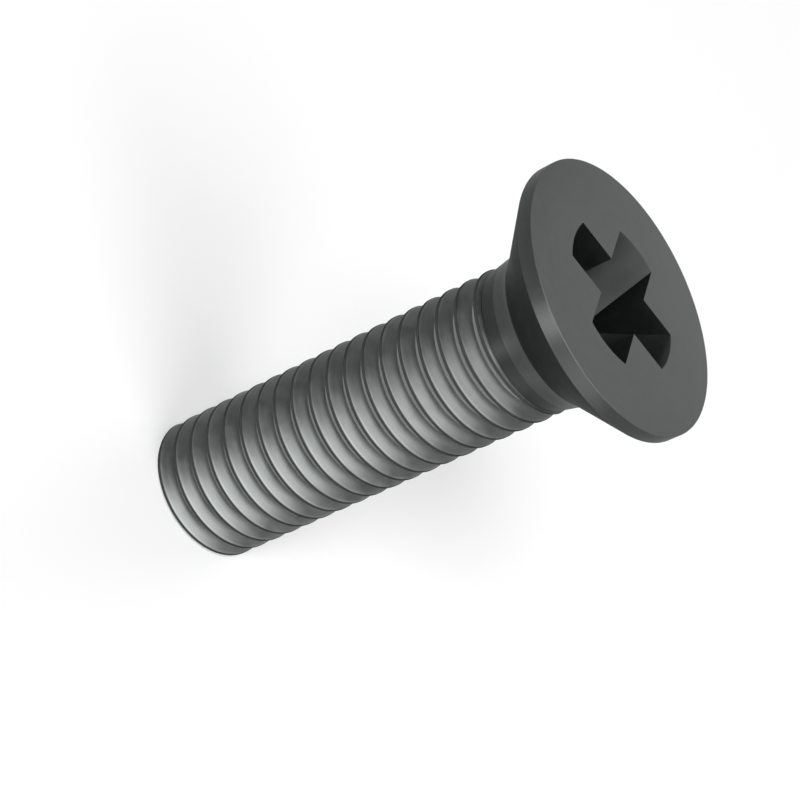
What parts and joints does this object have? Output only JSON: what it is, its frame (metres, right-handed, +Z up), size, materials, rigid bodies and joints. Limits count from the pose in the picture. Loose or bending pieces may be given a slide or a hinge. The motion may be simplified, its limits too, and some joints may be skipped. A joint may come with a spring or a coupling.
{
  "type": "countersunk machine screw",
  "caption": "Countersunk machine screw with a flat head, a crossed driver recess, a short tapered neck and a coarse right-hand thread down to a flat tip.",
  "frame": {"origin": "middle of the flat tip, on the surface that the screw stands on", "axes": "+Z up, along the screw's axis from the tip to the head"},
  "size_m": [0.018, 0.018, 0.0345],
  "materials": {
    "steel": "plain dark grey steel, satin, with fine mottling"
  },
  "bodies": {
    "root": {"screw": "steel"}
  },
  "joints": []
}
